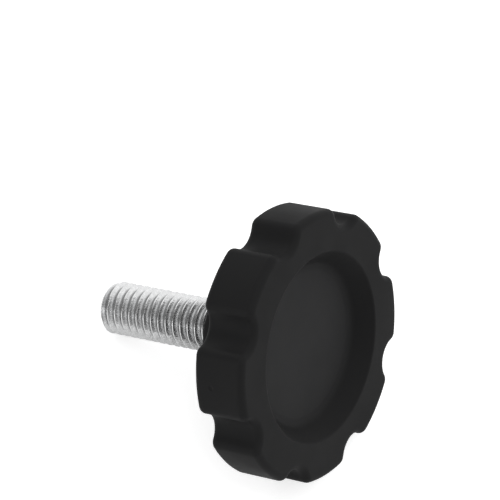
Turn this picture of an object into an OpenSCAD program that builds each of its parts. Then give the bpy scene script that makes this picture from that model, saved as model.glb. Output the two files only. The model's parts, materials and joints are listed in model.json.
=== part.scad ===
// Clamping screw: a lobed plastic hand knob with a threaded steel stud moulded into it.
// It lies on a flat surface, on two neighbouring lobes and the tip of its stud.

/* [Grip] */
// Diameter over the lobes
grip_d = 30; // [28.5:0.5:39]
// Thickness of the lobed rim
rim_t = 6.15; // [4.9:0.05:9]
// Number of scallops, with a lobe between each two
scallops = 8; // [6:1:9]
// Radius of each scallop
scallop_r = 2.25; // [1.65:0.05:2.7]
// Depth of each scallop below the lobes
scallop_depth = 1.65; // [1.1:0.05:2.1]
// Rounding of the corner between a scallop and a lobe
corner_r = 1.125; // [0.9:0.025:1.35]
// Rounding of the outer face's edge
front_edge_r = 0.75; // [0.3:0.05:0.85]
// Rounding of the back face's edge
back_edge_r = 0.675; // [0.3:0.025:0.85]

/* [Recess] */
// Diameter of the recess at the outer face
recess_d = 21; // [15:0.5:22.5]
// Depth of the recess
recess_depth = 2.25; // [1.5:0.05:3]
// Slope of the recess wall from the screw's axis, in degrees
recess_draft = 36; // [5:1:45]
// Rounding between the recess wall and its floor
recess_floor_r = 1.1; // [0.4:0.1:1.5]
// Rounding of the recess rim
recess_rim_r = 0.3; // [0.15:0.05:0.6]

/* [Hub] */
// Height of the hub behind the rim
hub_h = 5.85; // [4.9:0.05:10.5]
// Diameter of the hub at its free end
hub_d = 11; // [10.2:0.1:13.5]
// Slope of the hub wall from the screw's axis, in degrees
hub_draft = 4; // [1:0.5:8]
// Rounding of the hub's free end
hub_end_r = 0.45; // [0.15:0.05:0.75]
// Rounding where the hub meets the rim
hub_root_r = 0.9; // [0.4:0.1:1.5]
// Depth of the relief round the stud in the hub's end
relief_depth = 0.6; // [0.3:0.1:0.9]
// Width of the relief beyond the thread
relief_w = 0.3; // [0.15:0.05:0.6]

/* [Stud] */
// Diameter over the thread
thread_d = 6; // [4.5:0.5:6.5]
// Length of the thread out of the hub
stud_l = 16.1; // [9:0.1:34]
// Height of the chamfer at the tip
tip_chamfer = 0.6; // [0.3:0.05:0.9]
// Height of the thread's crest above the plain shank
crest_h = 0.3; // [0.15:0.05:0.6]
// Width across the flats of the anchor head
anchor_af = 8.2; // [7.2:0.1:9]
// Height of the anchor head
anchor_h = 3.4; // [2.3:0.1:4.5]
// Plastic between the recess floor and the anchor head
anchor_cover = 1.5; // [1.1:0.1:2.2]

/* [Hidden] */
$fn = 96;
// How far a cutter runs past the face that it opens
past = 1;
// Steps along the arcs of the rim's outline, round its edges and round those of the hub and recess
scallop_steps = 8;
corner_steps = 3;
lobe_steps = 5;
edge_steps = 4;
round_steps = 5;

grip_r = grip_d / 2;
hub_r = hub_d / 2;
// The rim's core, which stays inside the scallops, and how far the lofted ring runs into it
core_overlap = 0.75;
core_r = grip_r - scallop_depth - front_edge_r - core_overlap;
thread_r = thread_d / 2;
shank_r = thread_r - crest_h;
hub_end = rim_t + hub_h;
tip_z = hub_end + stud_l;
chamfer_z = tip_z - tip_chamfer;
anchor_z = recess_depth + anchor_cover;

// Plan of one scallop: its centre lies on the X axis, outside the rim
lobe_pitch = 360 / scallops;
scallop_x = grip_r - scallop_depth + scallop_r;
// Centre of a corner rounding, which touches the scallop from outside and the rim from inside
corner_path = grip_r - corner_r;
corner_reach = scallop_r + corner_r;
corner_x = (corner_path ^ 2 - corner_reach ^ 2 + scallop_x ^ 2) / (2 * scallop_x);
corner_y = sqrt(corner_path ^ 2 - corner_x ^ 2);
// Direction of that centre from the screw's axis, and from the scallop's centre
lobe_start = atan2(corner_y, corner_x);
scallop_end = atan2(corner_y, scallop_x - corner_x);

// Rest on a flat surface: the back edges of two lobes and the edge of the tip's chamfer touch it
low_x = corner_x + corner_r;
drop = low_x - back_edge_r - thread_r;
run = chamfer_z - (rim_t - back_edge_r);
droop = acos(-back_edge_r / norm([drop, run])) - atan2(run, drop);
rest_h = thread_r * cos(droop) + chamfer_z * sin(droop);
foremost = (low_x - front_edge_r) * sin(droop) + front_edge_r * (1 - cos(droop));
hindmost = -tip_z * cos(droop) - (thread_r - tip_chamfer) * sin(droop);
centre_x = (foremost + hindmost) / 2;

function towards(angle) = [cos(angle), sin(angle)];

// Points along an arc; first is 1 where the arc before it has ended on its first point
function arc(centre, r, from, to, steps, first = 0) = [
    for (k = [first : steps]) centre + r * towards(from + (to - from) * k / steps)
];

// Outline of the lobed rim, set in by the given distance
// Each corner rounding has a point straight out from its scallop, where the lobe touches the ground
function outline(inset) = [
    for (i = [0 : scallops - 1])
        let (
            a = i * lobe_pitch,
            first_corner = corner_path * towards(a - lobe_start),
            second_corner = corner_path * towards(a + lobe_start)
        )
            each [
                each arc(first_corner, corner_r - inset, a - lobe_start, a, 1, 1),
                each arc(first_corner, corner_r - inset, a, a + scallop_end, corner_steps, 1),
                each arc(scallop_x * towards(a), scallop_r + inset,
                    a + 180 + scallop_end, a + 180 - scallop_end, scallop_steps, 1),
                each arc(second_corner, corner_r - inset, a - scallop_end, a, corner_steps, 1),
                each arc(second_corner, corner_r - inset, a, a + lobe_start, 1, 1),
                each arc([0, 0], grip_r - inset,
                    a + lobe_start, a + lobe_pitch - lobe_start, lobe_steps, 1),
            ]
];

// Wall of the rim from its outer face to its back: how far it is set in, and its height
function rim_wall() = [
    for (k = [0 : edge_steps])
        let (turn = 90 * k / edge_steps)
            front_edge_r * [1 - sin(turn), 1 - cos(turn)],
    for (k = [0 : edge_steps])
        let (turn = 90 * k / edge_steps)
            [0, rim_t] + back_edge_r * [1 - cos(turn), sin(turn) - 1],
];

// The points of a flat outline, raised to a height
function lifted(points, z) = [for (p = points) [p.x, p.y, z]];

// Half section of a cone that narrows by a draft angle over its height h,
// with a flare where it starts and a rounding where it ends
function drafted_section(r, h, draft, flare_r, end_r) =
    let (
        set_in = tan(45 - draft / 2),
        flare = [r + flare_r * set_in, flare_r],
        end = [r - h * tan(draft) - end_r * set_in, h - end_r]
    )
        [
            [0, -past],
            [flare.x, -past],
            each arc(flare, flare_r, 270, 180 + draft, round_steps),
            each arc(end, end_r, draft, 90, round_steps),
            [0, h],
        ];

// Lobed rim, with its outer face on Z = 0: a round core in a ring, whose rounded wall follows the outline
module rim() {
    inside = [for (p = outline(front_edge_r)) (core_r - core_overlap) * p / norm(p)];
    rings = [
        lifted(inside, 0),
        for (step = rim_wall()) lifted(outline(step[0]), step[1]),
        lifted(inside, rim_t),
    ];
    height = len(rings);
    count = len(inside);
    polyhedron(
        points = [for (ring = rings) each ring],
        faces = [
            for (k = [0 : height - 1], i = [0 : count - 1])
                let (above = (k + 1) % height, next = (i + 1) % count)
                    [k * count + i, above * count + i, above * count + next, k * count + next],
        ],
        convexity = 4
    );
    cylinder(h = rim_t, r = core_r);
}

// Shallow dish in the outer face
module recess() {
    rotate_extrude()
        polygon(drafted_section(recess_d / 2, recess_depth, recess_draft, recess_rim_r, recess_floor_r));
}

// Boss that carries the stud behind the rim
module hub() {
    root_r = hub_r + hub_h * tan(hub_draft);
    translate([0, 0, rim_t])
        rotate_extrude()
            polygon(drafted_section(root_r, hub_h, hub_draft, hub_root_r, hub_end_r));
}

// Relief round the stud in the hub's end
module relief() {
    relief_r = thread_r + relief_w;
    translate([0, 0, hub_end])
        rotate_extrude()
            polygon([
                [0, -relief_depth],
                [shank_r, -relief_depth],
                [relief_r, 0],
                [relief_r, past],
                [0, past],
            ]);
}

// Hexagonal head that keeps the stud from turning or pulling out of the plastic
module anchor_head() {
    translate([0, 0, anchor_z])
        cylinder(h = anchor_h, d = anchor_af / cos(30), $fn = 6);
}

// Plain shank from the anchor head to the hub's end
module shank() {
    translate([0, 0, anchor_z])
        cylinder(h = hub_end - anchor_z, r = shank_r);
}

// Shank and threaded end in one turned piece, at the outer diameter of the thread
module turned_stud() {
    rotate_extrude()
        polygon([
            [0, anchor_z],
            [shank_r, anchor_z],
            [shank_r, hub_end],
            [thread_r, hub_end],
            [thread_r, chamfer_z],
            [thread_r - tip_chamfer, tip_z],
            [0, tip_z],
        ]);
}

// Turns a piece so that its axis droops towards the tip and a scallop faces down, and lifts it
module lying() {
    translate([-centre_x, 0, rest_h])
        rotate([0, -90 - droop, 0])
            rotate(180)
                children();
}

module knob() {
    color([0.13, 0.13, 0.135])
        lying()
            difference() {
                union() {
                    rim();
                    hub();
                }
                recess();
                relief();
                anchor_head();
                shank();
            }
}

module stud() {
    color([0.78, 0.79, 0.8])
        lying() {
            anchor_head();
            turned_stud();
        }
}

knob();
stud();
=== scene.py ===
import json
import math

import bmesh
import bpy
from mathutils import Matrix, Vector


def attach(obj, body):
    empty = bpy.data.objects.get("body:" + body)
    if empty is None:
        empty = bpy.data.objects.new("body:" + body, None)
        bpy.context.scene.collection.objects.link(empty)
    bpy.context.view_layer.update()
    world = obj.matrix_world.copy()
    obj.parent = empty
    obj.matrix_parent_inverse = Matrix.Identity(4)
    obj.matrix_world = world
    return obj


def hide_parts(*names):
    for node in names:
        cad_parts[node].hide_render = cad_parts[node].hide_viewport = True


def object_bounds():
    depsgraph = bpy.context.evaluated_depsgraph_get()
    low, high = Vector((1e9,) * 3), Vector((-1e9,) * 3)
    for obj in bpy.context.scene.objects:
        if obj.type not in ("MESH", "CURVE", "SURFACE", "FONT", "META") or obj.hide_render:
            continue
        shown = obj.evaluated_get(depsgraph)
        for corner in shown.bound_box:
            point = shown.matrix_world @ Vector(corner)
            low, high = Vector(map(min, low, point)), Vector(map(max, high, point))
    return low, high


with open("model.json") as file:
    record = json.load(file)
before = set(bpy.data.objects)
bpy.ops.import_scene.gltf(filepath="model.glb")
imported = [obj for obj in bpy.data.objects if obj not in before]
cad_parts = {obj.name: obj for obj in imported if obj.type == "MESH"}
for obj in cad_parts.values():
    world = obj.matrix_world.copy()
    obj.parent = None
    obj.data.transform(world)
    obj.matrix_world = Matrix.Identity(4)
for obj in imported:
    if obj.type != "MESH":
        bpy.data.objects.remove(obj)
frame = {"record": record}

bl_info = {
    "name": "Clamping Screw",
    "version": (1, 0, 0),
    "blender": (4, 5, 0),
    "location": "3D View > Sidebar > Screw",
    "description": "Lobed plastic hand knob with a threaded steel stud, on a pale floor",
    "category": "Object",
}

MM = 0.001
CAD_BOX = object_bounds()
# Points closer than this, in metres, are welded
WELD = 0.5e-6


# Place of the screw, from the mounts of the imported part

def mount(name):
    return next(m for m in frame["record"]["mounts"] if m["name"] == name)


STUD_AXIS = Vector(mount("stud")["axis"]).normalized()
STUD_MIDDLE = Vector(mount("stud")["pos_m"])
THREAD_LENGTH = mount("stud")["dims"]["length_mm"] * MM
THREAD_RADIUS = mount("stud")["dims"]["r_mm"] * MM


# Sizes and finishes that a user would change

def length(name, description, default_mm):
    return bpy.props.FloatProperty(
        name=name, description=description, default=default_mm * MM, min=0, unit="LENGTH", precision=5
    )


def angle(name, description, default_degrees):
    return bpy.props.FloatProperty(
        name=name, description=description, default=math.radians(default_degrees), subtype="ANGLE"
    )


def factor(name, description, default):
    return bpy.props.FloatProperty(
        name=name, description=description, default=default, min=0, max=1, subtype="FACTOR"
    )


def colour(name, description, default):
    return bpy.props.FloatVectorProperty(
        name=name, description=description, default=default, size=3, min=0, max=1, subtype="COLOR"
    )


class KnobSizes(bpy.types.PropertyGroup):
    grip_d: length("Grip diameter", "Diameter over the lobes", 30)
    rim_t: length("Rim thickness", "Thickness of the lobed rim", 6.15)
    scallops: bpy.props.IntProperty(
        name="Scallops", description="Number of scallops", default=8, min=6, max=9
    )
    scallop_r: length("Scallop radius", "Radius of each scallop", 2.25)
    scallop_depth: length("Scallop depth", "Depth of each scallop below the lobes", 1.65)
    corner_r: length("Corner rounding", "Rounding between a scallop and a lobe", 1.125)
    front_edge_r: length("Front edge rounding", "Rounding of the outer face's edge", 0.75)
    back_edge_r: length("Back edge rounding", "Rounding of the back face's edge", 0.675)
    recess_d: length("Recess diameter", "Diameter of the recess at the outer face", 21)
    recess_depth: length("Recess depth", "Depth of the recess", 2.25)
    recess_draft: angle("Recess draft", "Slope of the recess wall", 36)
    recess_floor_r: length("Recess floor rounding", "Rounding between the wall and the floor", 1.1)
    recess_rim_r: length("Recess rim rounding", "Rounding of the recess rim", 0.3)
    hub_h: length("Hub height", "Height of the hub behind the rim", 5.85)
    hub_d: length("Hub diameter", "Diameter of the hub at its free end", 11)
    hub_draft: angle("Hub draft", "Slope of the hub wall", 4)
    hub_end_r: length("Hub end rounding", "Rounding of the hub's free end", 0.45)
    hub_root_r: length("Hub root rounding", "Rounding where the hub meets the rim", 0.9)
    relief_depth: length("Relief depth", "Depth of the relief round the stud", 0.6)
    relief_w: length("Relief width", "Width of the relief beyond the thread", 0.3)
    mark_d: length("Mark diameter", "Diameter of the small moulding mark on one lobe", 0.7)
    mark_depth: length("Mark place", "Distance of the moulding mark behind the outer face", 3.95)
    mark_turn: angle("Mark turn", "Turn of the moulding mark about the screw's axis", 21.5)


class StudSizes(bpy.types.PropertyGroup):
    pitch: length("Pitch", "Distance between two turns of the thread", 1)
    tip_chamfer: length("Tip chamfer", "Height of the chamfer at the tip", 0.6)
    shank_d: length("Shank diameter", "Diameter of the plain shank inside the hub", 5.4)
    anchor_af: length("Anchor width", "Width across the flats of the anchor head", 8.2)
    anchor_h: length("Anchor height", "Height of the anchor head", 3.4)
    anchor_cover: length("Anchor cover", "Plastic between the recess floor and the anchor head", 1.5)
    crest_allowance: length("Crest allowance", "How far the crests stay under the nominal radius", 0.03)
    thread_turn: angle("Thread turn", "Turn of the thread about the stud's axis", 180)


class Finishes(bpy.types.PropertyGroup):
    plastic: colour("Plastic colour", "Colour of the moulded plastic", (0.0135, 0.0135, 0.0138))
    plastic_roughness: factor("Plastic roughness", "Roughness of the moulded plastic", 0.55)
    plastic_grain: factor("Plastic grain", "Strength of the moulded grain", 0.25)
    steel: colour("Steel colour", "Colour of the zinc plating", (0.87, 0.875, 0.88))
    # Painted shade: how dark the colour is made in the roots of the thread, where the flanks shade each
    # other
    painted_root_shade: factor("Root shade", "Brightness of the plating in the roots of the thread", 0.3)
    steel_roughness: factor("Steel roughness", "Roughness of the zinc plating", 0.24)


class StageSettings(bpy.types.PropertyGroup):
    azimuth: angle("Camera azimuth", "Direction of the camera from the aim, turned from +X", -70.322)
    elevation: angle("Camera elevation", "Height of the camera above the aim", 51.206)
    roll: angle("Camera roll", "Turn of the camera about its own axis", -14.679)
    distance: length("Camera distance", "Distance of the camera from the aim", 334.68)
    aim: bpy.props.FloatVectorProperty(
        name="Aim", description="Point in the middle of the picture", subtype="XYZ", unit="LENGTH",
        default=(-2.751 * MM, 4.462 * MM, 18.291 * MM),
    )
    lens: bpy.props.FloatProperty(
        name="Lens", description="Focal length in millimetres", default=222.9, min=1
    )
    floor: colour("Floor colour", "Colour of the floor and backdrop", (0.8, 0.8, 0.8))


# Drawing: a single point is drawn into a profile in the XZ plane, and the profile is swept

def start_drawing(name, x, z):
    """A new mesh of one point, in edit mode."""
    bpy.ops.object.select_all(action="DESELECT")
    bpy.ops.mesh.primitive_plane_add(size=MM, location=(0, 0, 0))
    piece = bpy.context.active_object
    piece.name = name
    piece.data.name = name
    bpy.ops.object.mode_set(mode="EDIT")
    bpy.ops.mesh.select_mode(type="VERT")
    bpy.ops.mesh.select_all(action="SELECT")
    bpy.ops.mesh.merge(type="CENTER")
    bpy.ops.transform.translate(value=(x, 0, z))
    return piece


def selected_centre(piece):
    points = [v.co for v in bmesh.from_edit_mesh(piece.data).verts if v.select]
    return sum(points, Vector()) / len(points)


def line_to(piece, x, z):
    """Extrudes the end of the profile in a straight line."""
    step = Vector((x, 0, z)) - selected_centre(piece)
    bpy.ops.mesh.extrude_region_move(TRANSFORM_OT_translate={"value": step})


def arc_about(x, z, degrees, steps):
    """Turns the end of the profile about a centre, anticlockwise with X to the right and Z up."""
    bpy.ops.mesh.spin(
        steps=steps, angle=math.radians(degrees), center=(x, 0, z), axis=(0, 1, 0), use_auto_merge=False
    )


def sweep_about(centre, turn, steps):
    """Turns the selected profile about an upright axis, anticlockwise seen from above."""
    bpy.ops.mesh.spin(
        steps=steps, angle=turn, center=(centre.x, centre.y, 0), axis=(0, 0, -1), use_auto_merge=False
    )


def weld():
    bpy.ops.mesh.select_all(action="SELECT")
    bpy.ops.mesh.remove_doubles(threshold=WELD)
    bpy.ops.mesh.normals_make_consistent(inside=False)


def revolve(steps):
    """Turns the whole profile once round the Z axis and closes the seam."""
    bpy.ops.mesh.select_all(action="SELECT")
    sweep_about(Vector((0, 0)), math.tau, steps)
    weld()


def finish_drawing():
    bpy.ops.object.mode_set(mode="OBJECT")
    bpy.ops.object.select_all(action="DESELECT")


def select_only(*pieces):
    bpy.ops.object.select_all(action="DESELECT")
    for piece in pieces:
        piece.select_set(True)
    bpy.context.view_layer.objects.active = pieces[0]


def join(*pieces):
    select_only(*pieces)
    bpy.ops.object.join()
    return pieces[0]


def combine(piece, tool, operation):
    """Joins, cuts or keeps what a second piece shares, and removes that piece."""
    select_only(piece)
    modifier = piece.modifiers.new("Combine", "BOOLEAN")
    modifier.operation = operation
    modifier.solver = "EXACT"
    modifier.object = tool
    bpy.ops.object.modifier_apply(modifier=modifier.name)
    bpy.data.objects.remove(tool, do_unlink=True)


def bridge_at(piece, z):
    """Closes the flat gap between the two open loops that lie at a height."""
    bpy.ops.mesh.select_mode(type="EDGE")
    bpy.ops.mesh.select_all(action="DESELECT")
    shape = bmesh.from_edit_mesh(piece.data)
    for edge in shape.edges:
        flat = all(abs(v.co.z - z) < WELD for v in edge.verts)
        edge.select = edge.is_boundary and flat
    shape.select_flush_mode()
    bmesh.update_edit_mesh(piece.data)
    bpy.ops.mesh.bridge_edge_loops()


def face_centre(k):
    """Middle of the knob's outer face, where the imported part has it."""
    return STUD_MIDDLE - STUD_AXIS * (k.rim_t + k.hub_h + THREAD_LENGTH / 2)


ACROSS = Vector((0, 1, 0))
BESIDE_AXIS = ACROSS.cross(STUD_AXIS)


def lay_down(piece, sizes, turn=0):
    """Places a piece drawn along Z, from its outer face at Z = 0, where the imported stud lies."""
    side = STUD_AXIS.cross(BESIDE_AXIS)
    place = Matrix((BESIDE_AXIS, side, STUD_AXIS)).transposed().to_4x4()
    place.translation = face_centre(sizes)
    piece.matrix_world = place @ Matrix.Rotation(turn, 4, "Z")
    select_only(piece)
    bpy.ops.object.transform_apply(location=True, rotation=True, scale=True)


def smooth(piece, degrees):
    """Shades the piece smooth across edges that turn by less than an angle."""
    select_only(piece)
    bpy.ops.object.shade_smooth_by_angle(angle=math.radians(degrees))


# Knob

EDGE_STEPS = 8
CORNER_STEPS = 9
SCALLOP_STEPS = 14
LOBE_STEPS = 8
ROUND_STEPS = 8
SHANK_STEPS = 96
# Width of the flat strips beside the roundings
SUPPORT = 0.11 * MM


def rim_wall(s):
    """Rounded wall of the rim, swept round the lobes, corners and scallops."""
    grip_r = s.grip_d / 2
    inner_front = grip_r - s.front_edge_r
    inner_back = grip_r - s.back_edge_r
    wall = start_drawing("knob_body", inner_front - SUPPORT, 0)
    line_to(wall, inner_front, 0)
    arc_about(inner_front, s.front_edge_r, 90, EDGE_STEPS)
    line_to(wall, grip_r, s.front_edge_r + SUPPORT)
    line_to(wall, grip_r, s.rim_t - s.back_edge_r - SUPPORT)
    line_to(wall, grip_r, s.rim_t - s.back_edge_r)
    arc_about(inner_back, s.rim_t - s.back_edge_r, 90, EDGE_STEPS)
    line_to(wall, inner_back - SUPPORT, s.rim_t)

    pitch = math.tau / s.scallops
    scallop_x = grip_r - s.scallop_depth + s.scallop_r
    corner_path = grip_r - s.corner_r
    reach = s.scallop_r + s.corner_r
    corner_x = (corner_path ** 2 - reach ** 2 + scallop_x ** 2) / (2 * scallop_x)
    corner_y = math.sqrt(corner_path ** 2 - corner_x ** 2)
    lobe_start = math.atan2(corner_y, corner_x)
    scallop_end = math.atan2(corner_y, scallop_x - corner_x)

    def on_ray(distance, turn):
        return Vector((distance * math.cos(turn), distance * math.sin(turn)))

    bpy.ops.mesh.select_all(action="SELECT")
    for i in range(s.scallops):
        middle = i * pitch + lobe_start
        sweep_about(on_ray(corner_path, middle - lobe_start), lobe_start + scallop_end, CORNER_STEPS)
        sweep_about(on_ray(scallop_x, middle), -2 * scallop_end, SCALLOP_STEPS)
        sweep_about(on_ray(corner_path, middle + lobe_start), lobe_start + scallop_end, CORNER_STEPS)
        sweep_about(Vector((0, 0)), pitch - 2 * lobe_start, LOBE_STEPS)
    weld()
    finish_drawing()
    return wall, lobe_start


def drafted_profile(piece, r, base, h, draft, flare_r, end_r):
    """Draws a drafted wall with a flare where it starts and a rounding where it ends."""
    set_in = math.tan(math.pi / 4 - draft / 2)
    turned = 90 - math.degrees(draft)
    flare_x = r + flare_r * set_in
    end_x = r - h * math.tan(draft) - end_r * set_in
    line_to(piece, flare_x, base)
    arc_about(flare_x, base + flare_r, -turned, ROUND_STEPS)
    line_to(piece, end_x + end_r * math.cos(draft), base + h - end_r + end_r * math.sin(draft))
    arc_about(end_x, base + h - end_r, turned, ROUND_STEPS)
    line_to(piece, end_x - SUPPORT, base + h)


def outline_steps(s):
    """Steps all round the rim's outline, which the dish and the hub share."""
    return s.scallops * (2 * CORNER_STEPS + SCALLOP_STEPS + LOBE_STEPS)


def dish(s):
    """Recess in the outer face."""
    mouth = s.recess_d / 2 + s.recess_rim_r + SUPPORT
    piece = start_drawing("dish", mouth, 0)
    drafted_profile(
        piece, s.recess_d / 2, 0, s.recess_depth, s.recess_draft, s.recess_rim_r, s.recess_floor_r
    )
    line_to(piece, 0, s.recess_depth)
    revolve(outline_steps(s))
    finish_drawing()
    return piece


def hub(s, shank_d):
    """Hub behind the rim, with the relief round the stud."""
    end = s.rim_t + s.hub_h
    root_r = s.hub_d / 2 + s.hub_h * math.tan(s.hub_draft)
    piece = start_drawing("hub", root_r + s.hub_root_r + SUPPORT, s.rim_t)
    drafted_profile(piece, root_r, s.rim_t, s.hub_h, s.hub_draft, s.hub_root_r, s.hub_end_r)
    line_to(piece, THREAD_RADIUS + s.relief_w + SUPPORT, end)
    line_to(piece, THREAD_RADIUS + s.relief_w, end)
    line_to(piece, shank_d / 2, end - s.relief_depth)
    line_to(piece, 0, end - s.relief_depth)
    revolve(outline_steps(s))
    finish_drawing()
    return piece


def anchor(k, t):
    """Hexagonal head and plain shank inside the plastic."""
    middle = k.recess_depth + t.anchor_cover + t.anchor_h / 2
    bpy.ops.object.select_all(action="DESELECT")
    bpy.ops.mesh.primitive_cylinder_add(
        vertices=6, radius=t.anchor_af / 2 / math.cos(math.pi / 6), depth=t.anchor_h,
        location=(0, 0, middle), rotation=(0, 0, math.pi / 2),
    )
    head = bpy.context.active_object
    bpy.ops.object.transform_apply(location=True, rotation=True, scale=True)
    top = k.rim_t + k.hub_h - k.relief_depth
    shank = start_drawing("shank", 0, middle)
    line_to(shank, t.shank_d / 2, middle)
    line_to(shank, t.shank_d / 2, top)
    line_to(shank, 0, top)
    revolve(SHANK_STEPS)
    finish_drawing()
    combine(head, shank, "UNION")
    return head


# Depth of the thread and rounding of its root, in pitches

THREAD_DEPTH = 0.613
ROOT_ROUNDING = 0.144


def root_radius(t):
    """Radius at the bottom of the thread's rounded root."""
    return THREAD_RADIUS - t.crest_allowance - THREAD_DEPTH * t.pitch


# Materials: patterns in features per metre, heights in metres

FLOW_SCALE = 210
GRAIN_SCALE = 7000
GRAIN_HEIGHT = 0.022 * MM
DENT_DEPTH = 0.12 * MM
RECESS_FLOOR_GAIN = 1.7
BLOOM_SCALE = 3500
BLOOM_SHADE = 0.6
CRYSTAL_SCALE = 5500
CRYSTAL_HEIGHT = 0.035 * MM


def new_material(name):
    material = bpy.data.materials.new(name)
    material.use_nodes = True
    return material, material.node_tree.nodes, material.node_tree.links


def noise(nodes, links, place, scale, detail):
    """A cloudy pattern that is fixed to the piece."""
    pattern = nodes.new("ShaderNodeTexNoise")
    pattern.inputs["Scale"].default_value = scale
    pattern.inputs["Detail"].default_value = detail
    links.new(place.outputs["Object"], pattern.inputs["Vector"])
    return pattern.outputs["Fac"]


def ranged(nodes, links, value, start, end, low=0.0, high=1.0, smooth_ends=False):
    """Turns a value between start and end into one between low and high."""
    change = nodes.new("ShaderNodeMapRange")
    if smooth_ends:
        change.interpolation_type = "SMOOTHSTEP"
    change.inputs["From Min"].default_value = start
    change.inputs["From Max"].default_value = end
    change.inputs["To Min"].default_value = low
    change.inputs["To Max"].default_value = high
    links.new(value, change.inputs["Value"])
    return change.outputs["Result"]


def bumped(nodes, links, height, strength, distance):
    """Relief from a height pattern. Its Normal input takes a relief that lies under it."""
    relief = nodes.new("ShaderNodeBump")
    relief.inputs["Strength"].default_value = strength
    relief.inputs["Distance"].default_value = distance
    links.new(height, relief.inputs["Height"])
    return relief


def mixed(nodes, links, factor, first, second):
    """A colour between two colours."""
    mix = nodes.new("ShaderNodeMix")
    mix.data_type = "RGBA"
    mix.inputs["A"].default_value = (*first, 1)
    mix.inputs["B"].default_value = (*second, 1)
    links.new(factor, mix.inputs["Factor"])
    return mix.outputs["Result"]


def calculated(nodes, links, operation, first, second):
    """Two outputs, or an output and a number, put through one operation."""
    step = nodes.new("ShaderNodeMath")
    step.operation = operation
    links.new(first, step.inputs[0])
    if isinstance(second, (int, float)):
        step.inputs[1].default_value = second
    else:
        links.new(second, step.inputs[1])
    return step.outputs[0]


def about_the_axis(nodes, links, place, k):
    """Outputs for the distance of a point behind the outer face, and its distance from the screw's axis."""
    offset = nodes.new("ShaderNodeVectorMath")
    offset.operation = "SUBTRACT"
    offset.inputs[1].default_value = face_centre(k)
    links.new(place.outputs["Object"], offset.inputs[0])
    depth = nodes.new("ShaderNodeVectorMath")
    depth.operation = "DOT_PRODUCT"
    depth.inputs[1].default_value = STUD_AXIS
    links.new(offset.outputs["Vector"], depth.inputs[0])
    across = nodes.new("ShaderNodeVectorMath")
    across.operation = "CROSS_PRODUCT"
    across.inputs[1].default_value = STUD_AXIS
    links.new(offset.outputs["Vector"], across.inputs[0])
    radius = nodes.new("ShaderNodeVectorMath")
    radius.operation = "LENGTH"
    links.new(across.outputs["Vector"], radius.inputs[0])
    return depth.outputs["Value"], radius.outputs["Value"]


def mark_height(nodes, links, place, k):
    """0 in the middle of the small round dent that the mould leaves on one lobe, and 1 round it."""
    outwards = math.sin(k.mark_turn) * BESIDE_AXIS - math.cos(k.mark_turn) * ACROSS
    away = nodes.new("ShaderNodeVectorMath")
    away.operation = "DISTANCE"
    away.inputs[1].default_value = face_centre(k) + k.mark_depth * STUD_AXIS + k.grip_d / 2 * outwards
    links.new(place.outputs["Object"], away.inputs[0])
    start, end = 0.15 * k.mark_d, 0.5 * k.mark_d
    return ranged(nodes, links, away.outputs["Value"], start, end, smooth_ends=True)


def recess_floor(nodes, links, place, k):
    """1 on the floor of the recess and 0 elsewhere, with a soft edge."""
    depth, radius = about_the_axis(nodes, links, place, k)
    floor_r = k.recess_d / 2 - k.recess_depth * math.tan(k.recess_draft)
    inside = ranged(nodes, links, radius, floor_r + 0.15 * MM, floor_r - 0.9 * MM)
    in_front = calculated(nodes, links, "LESS_THAN", depth, k.recess_depth + 0.5 * MM)
    return calculated(nodes, links, "MULTIPLY", inside, in_front)


def plastic_material(f, k):
    """Semi-matt moulded plastic with a fine grain, faint flow marks and a paler recess floor."""
    material, nodes, links = new_material("moulded_plastic")
    shader = nodes["Principled BSDF"]
    shader.inputs["Specular IOR Level"].default_value = 0.06
    place = nodes.new("ShaderNodeTexCoord")
    paler = [RECESS_FLOOR_GAIN * c for c in f.plastic]
    tint = mixed(nodes, links, recess_floor(nodes, links, place, k), f.plastic, paler)
    links.new(tint, shader.inputs["Base Color"])
    flow = noise(nodes, links, place, FLOW_SCALE, detail=3)
    low, high = f.plastic_roughness - 0.05, f.plastic_roughness + 0.05
    links.new(ranged(nodes, links, flow, 0.3, 0.7, low, high), shader.inputs["Roughness"])
    mark = bumped(nodes, links, mark_height(nodes, links, place, k), 1, DENT_DEPTH)
    grit = noise(nodes, links, place, GRAIN_SCALE, detail=2)
    grain = bumped(nodes, links, grit, f.plastic_grain, GRAIN_HEIGHT)
    links.new(mark.outputs["Normal"], grain.inputs["Normal"])
    links.new(grain.outputs["Normal"], shader.inputs["Normal"])
    return material


def steel_material(f, k, t):
    """Bright zinc plating with a mottled bloom, and painted shade that darkens the colour in the roots of
    the thread.
    """
    material, nodes, links = new_material("zinc_plated_steel")
    shader = nodes["Principled BSDF"]
    shader.inputs["Metallic"].default_value = 0.94
    place = nodes.new("ShaderNodeTexCoord")
    bloom = noise(nodes, links, place, BLOOM_SCALE, detail=4)
    tint = mixed(nodes, links, bloom, f.steel, [BLOOM_SHADE * c for c in f.steel])
    # Painted shade: the colour is darkened towards the roots of the thread, where the flanks shade each
    # other, from the root shade level at the root to full a quarter pitch above it
    radius = about_the_axis(nodes, links, place, k)[1]
    root = root_radius(t)
    start, end = root + 0.04 * t.pitch, root + 0.26 * t.pitch
    shaded = nodes.new("ShaderNodeVectorMath")
    shaded.operation = "SCALE"
    links.new(tint, shaded.inputs["Vector"])
    links.new(ranged(nodes, links, radius, start, end, f.painted_root_shade, 1), shaded.inputs["Scale"])
    links.new(shaded.outputs["Vector"], shader.inputs["Base Color"])
    low, high = f.steel_roughness - 0.06, f.steel_roughness + 0.1
    links.new(ranged(nodes, links, bloom, 0, 1, low, high), shader.inputs["Roughness"])
    crystal = noise(nodes, links, place, CRYSTAL_SCALE, detail=3)
    crystals = bumped(nodes, links, crystal, 0.5, CRYSTAL_HEIGHT)
    links.new(crystals.outputs["Normal"], shader.inputs["Normal"])
    return material


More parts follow.
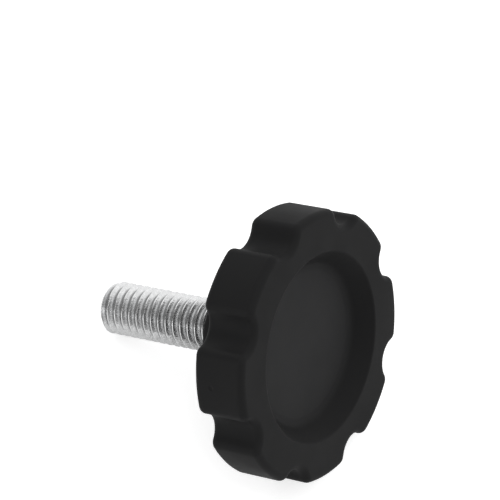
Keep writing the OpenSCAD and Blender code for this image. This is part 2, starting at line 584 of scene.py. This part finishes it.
class CLAMPINGSCREW_OT_add_knob(bpy.types.Operator):
    """Adds the lobed plastic knob with its recess and hub"""

    bl_idname = "clampingscrew.add_knob"
    bl_label = "Add Knob"

    def execute(self, context):
        k, t = context.scene.knob_sizes, context.scene.stud_sizes
        wall, lobe_start = rim_wall(k)
        body = join(wall, dish(k), hub(k, t.shank_d))
        bpy.ops.object.mode_set(mode="EDIT")
        bridge_at(body, 0)
        bridge_at(body, k.rim_t)
        bpy.ops.mesh.select_mode(type="VERT")
        weld()
        finish_drawing()
        cavity = anchor(k, t)
        cavity.rotation_euler.z = lobe_start
        combine(body, cavity, "DIFFERENCE")
        lay_down(body, k, -lobe_start)
        smooth(body, 32)
        body.data.materials.clear()
        body.data.materials.append(plastic_material(context.scene.finishes, k))
        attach(body, "root")
        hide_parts("knob")
        return {"FINISHED"}


# Stud

THREAD_STEPS = 96
SPARE_TURNS = 3
ROOT_STEPS = 6
ENVELOPE_STEPS = 192
# How far a piece runs past what it meets, and how deep the run-out starts inside the shank
PAST = 0.25 * MM
SINK = 0.02 * MM


def thread_profile(t):
    """One pitch of a rolled metric thread, from the middle of a crest to the next."""
    crest_r = THREAD_RADIUS - t.crest_allowance
    flank = math.radians(30)
    half_crest = t.pitch / 16
    bevel = 0.2 * half_crest
    bevel_depth = 0.35 * half_crest
    root_r = ROOT_ROUNDING * t.pitch
    root_z = t.pitch / 2
    root_x = root_radius(t) + root_r
    piece = start_drawing("thread", crest_r, 0)
    line_to(piece, crest_r, half_crest - bevel)
    line_to(piece, crest_r - bevel_depth, half_crest + bevel)
    line_to(piece, root_x - root_r * math.sin(flank), root_z - root_r * math.cos(flank))
    arc_about(root_x, root_z, 2 * math.degrees(flank) - 180, ROOT_STEPS)
    line_to(piece, crest_r - bevel_depth, t.pitch - half_crest - bevel)
    line_to(piece, crest_r, t.pitch - half_crest + bevel)
    line_to(piece, crest_r, t.pitch)
    finish_drawing()
    return piece


def cut_flat(z, keep_above):
    """Cuts the piece in edit mode at a height and closes the cut."""
    bpy.ops.mesh.select_all(action="SELECT")
    bpy.ops.mesh.bisect(
        plane_co=(0, 0, z), plane_no=(0, 0, 1), use_fill=True,
        clear_inner=keep_above, clear_outer=not keep_above, threshold=WELD,
    )


def thread(t, low, high):
    """The helix between two heights, as a closed piece."""
    piece = thread_profile(t)
    turns = math.ceil((high - low) / t.pitch) + SPARE_TURNS
    select_only(piece)
    helix = piece.modifiers.new("Helix", "SCREW")
    helix.axis = "Z"
    helix.angle = math.tau
    helix.screw_offset = t.pitch
    helix.iterations = turns
    helix.steps = THREAD_STEPS
    helix.render_steps = THREAD_STEPS
    helix.use_merge_vertices = True
    helix.merge_threshold = WELD
    bpy.ops.object.modifier_apply(modifier=helix.name)
    bpy.ops.object.mode_set(mode="EDIT")
    bpy.ops.mesh.select_mode(type="VERT")
    bpy.ops.mesh.select_all(action="SELECT")
    bpy.ops.transform.translate(value=(0, 0, low - SPARE_TURNS / 2 * t.pitch))
    cut_flat(low, keep_above=True)
    cut_flat(high, keep_above=False)
    weld()
    finish_drawing()
    return piece


def envelope(k, t, tip):
    """What the thread is turned down to: a chamfered tip and a short run-out at the shank."""
    end = k.rim_t + k.hub_h
    wide = THREAD_RADIUS + PAST
    runout = end - k.relief_depth
    sunk = runout - SINK
    piece = start_drawing("envelope", 0, sunk - PAST)
    line_to(piece, t.shank_d / 2 - PAST, sunk - PAST)
    line_to(piece, wide, sunk + wide - t.shank_d / 2)
    line_to(piece, wide, tip - t.tip_chamfer - PAST)
    line_to(piece, THREAD_RADIUS - t.tip_chamfer, tip)
    line_to(piece, 0, tip)
    revolve(ENVELOPE_STEPS)
    finish_drawing()
    return piece


class CLAMPINGSCREW_OT_add_stud(bpy.types.Operator):
    """Adds the threaded steel stud with its anchor head"""

    bl_idname = "clampingscrew.add_stud"
    bl_label = "Add Stud"

    def execute(self, context):
        k, t = context.scene.knob_sizes, context.scene.stud_sizes
        hub_end = k.rim_t + k.hub_h
        tip = hub_end + THREAD_LENGTH + t.tip_chamfer
        stud = thread(t, hub_end - k.relief_depth - 2 * PAST, tip + PAST)
        combine(stud, envelope(k, t, tip), "INTERSECT")
        combine(stud, anchor(k, t), "UNION")
        stud.name = "threaded_stud"
        stud.data.name = "threaded_stud"
        lay_down(stud, k, t.thread_turn)
        smooth(stud, 35)
        stud.data.materials.clear()
        stud.data.materials.append(steel_material(context.scene.finishes, k, t))
        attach(stud, "root")
        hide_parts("stud")
        return {"FINISHED"}


# Stage

LAMP_DISTANCE = 0.7


def pale_material(name, shade, glow, sheen):
    """Pale surface that shows white to the camera, glows a little in reflections and keeps the shadow."""
    material, nodes, links = new_material(name)
    nodes.remove(nodes["Principled BSDF"])
    matt = nodes.new("ShaderNodeBsdfDiffuse")
    matt.inputs["Color"].default_value = (*shade, 1)
    light = nodes.new("ShaderNodeEmission")
    light.inputs["Color"].default_value = (1, 1, 1, 1)
    path = nodes.new("ShaderNodeLightPath")
    reflected = calculated(nodes, links, "MULTIPLY", path.outputs["Is Glossy Ray"], sheen)
    seen = calculated(nodes, links, "MULTIPLY", path.outputs["Is Camera Ray"], glow)
    links.new(calculated(nodes, links, "ADD", seen, reflected), light.inputs["Strength"])
    both = nodes.new("ShaderNodeAddShader")
    links.new(matt.outputs[0], both.inputs[0])
    links.new(light.outputs[0], both.inputs[1])
    links.new(both.outputs[0], nodes["Material Output"].inputs["Surface"])
    return material


def direction(azimuth, elevation):
    """Unit vector at angles in degrees: turned from +X, and above the floor."""
    turn, lift = math.radians(azimuth), math.radians(elevation)
    return Vector((math.cos(lift) * math.cos(turn), math.cos(lift) * math.sin(turn), math.sin(lift)))


def faded(nodes, links, place, centre, outside, inside, near, far):
    """A level that goes softly from inside to outside between two angles in degrees from a direction."""
    along = nodes.new("ShaderNodeVectorMath")
    along.operation = "DOT_PRODUCT"
    along.inputs[1].default_value = centre
    links.new(place.outputs["Generated"], along.inputs[0])
    start, end = math.cos(math.radians(far)), math.cos(math.radians(near))
    return ranged(nodes, links, along.outputs["Value"], start, end, outside, inside, smooth_ends=True)


def tent_world():
    """White for the camera. For the light, a tent that is bright behind, with a dark opening at the left."""
    world = bpy.data.worlds.new("studio")
    bpy.context.scene.world = world
    world.use_nodes = True
    nodes, links = world.node_tree.nodes, world.node_tree.links
    sky = nodes["Background"]
    sky.inputs["Color"].default_value = (1, 1, 1, 1)
    place = nodes.new("ShaderNodeTexCoord")
    tent = faded(nodes, links, place, direction(105, 30), outside=0.6, inside=1.2, near=75, far=125)
    opening = faded(nodes, links, place, direction(-150, 26), outside=1, inside=0.1, near=16, far=34)
    both = calculated(nodes, links, "MULTIPLY", tent, opening)
    path = nodes.new("ShaderNodeLightPath")
    level = calculated(nodes, links, "MAXIMUM", path.outputs["Is Camera Ray"], both)
    links.new(level, sky.inputs["Strength"])


def softbox(name, azimuth, elevation, size, power):
    """Square soft lamp that faces the middle of the screw."""
    towards = direction(azimuth, elevation)
    aim = Vector((0, 0, (CAD_BOX[0].z + CAD_BOX[1].z) / 2))
    bpy.ops.object.light_add(type="AREA", location=aim + LAMP_DISTANCE * towards)
    lamp = bpy.context.active_object
    lamp.name = name
    lamp.data.size = size
    lamp.data.energy = power
    lamp.rotation_euler = towards.to_track_quat("Z", "Y").to_euler()


def add_camera(g):
    """Camera at the photograph's viewing angle."""
    towards = direction(math.degrees(g.azimuth), math.degrees(g.elevation))
    forward = -towards
    level_right = forward.cross(Vector((0, 0, 1))).normalized()
    level_up = level_right.cross(forward)
    up = math.cos(g.roll) * level_up + math.sin(g.roll) * level_right
    right = forward.cross(up)
    bpy.ops.object.camera_add()
    camera = bpy.context.active_object
    place = Matrix((right, up, towards)).transposed().to_4x4()
    place.translation = Vector(g.aim) + towards * g.distance
    camera.matrix_world = place
    camera.data.sensor_width = 36
    camera.data.lens = g.lens
    camera.data.clip_start = 0.01
    camera.data.clip_end = 20
    bpy.context.scene.camera = camera


class CLAMPINGSCREW_OT_add_stage(bpy.types.Operator):
    """Adds the pale floor, the tent of light, the soft lamp and the camera"""

    bl_idname = "clampingscrew.add_stage"
    bl_label = "Add Stage"

    def execute(self, context):
        g = context.scene.stage_settings
        bpy.ops.object.select_all(action="DESELECT")
        bpy.ops.mesh.primitive_plane_add(size=6, location=(0, 0, 0))
        floor = context.active_object
        floor.name = "floor"
        floor.data.materials.append(pale_material("pale_floor", g.floor, glow=0.6, sheen=0.3))
        tent_world()
        softbox("left_lamp", azimuth=-112, elevation=10, size=0.3, power=0.7)
        add_camera(g)
        context.scene.view_settings.view_transform = "Standard"
        return {"FINISHED"}


class VIEW3D_PT_clamping_screw(bpy.types.Panel):
    bl_label = "Clamping Screw"
    bl_idname = "VIEW3D_PT_clamping_screw"
    bl_space_type = "VIEW_3D"
    bl_region_type = "UI"
    bl_category = "Screw"

    def draw(self, context):
        column = self.layout.column()
        for operator in OPERATORS:
            column.operator(operator.bl_idname)
        for group_name in SETTINGS:
            group = getattr(context.scene, group_name)
            column.separator()
            for setting in group.bl_rna.properties:
                if setting.identifier not in ("rna_type", "name"):
                    column.prop(group, setting.identifier)


OPERATORS = (CLAMPINGSCREW_OT_add_stage, CLAMPINGSCREW_OT_add_knob, CLAMPINGSCREW_OT_add_stud)
SETTINGS = {
    "knob_sizes": KnobSizes,
    "stud_sizes": StudSizes,
    "finishes": Finishes,
    "stage_settings": StageSettings,
}
CLASSES = (*SETTINGS.values(), *OPERATORS, VIEW3D_PT_clamping_screw)


def register():
    for cls in CLASSES:
        bpy.utils.register_class(cls)
    for name, group in SETTINGS.items():
        setattr(bpy.types.Scene, name, bpy.props.PointerProperty(type=group))


def unregister():
    for name in SETTINGS:
        delattr(bpy.types.Scene, name)
    for cls in reversed(CLASSES):
        bpy.utils.unregister_class(cls)


def main():
    register()
    bpy.ops.clampingscrew.add_stage()
    bpy.ops.clampingscrew.add_knob()
    bpy.ops.clampingscrew.add_stud()


if __name__ == "__main__":
    main()
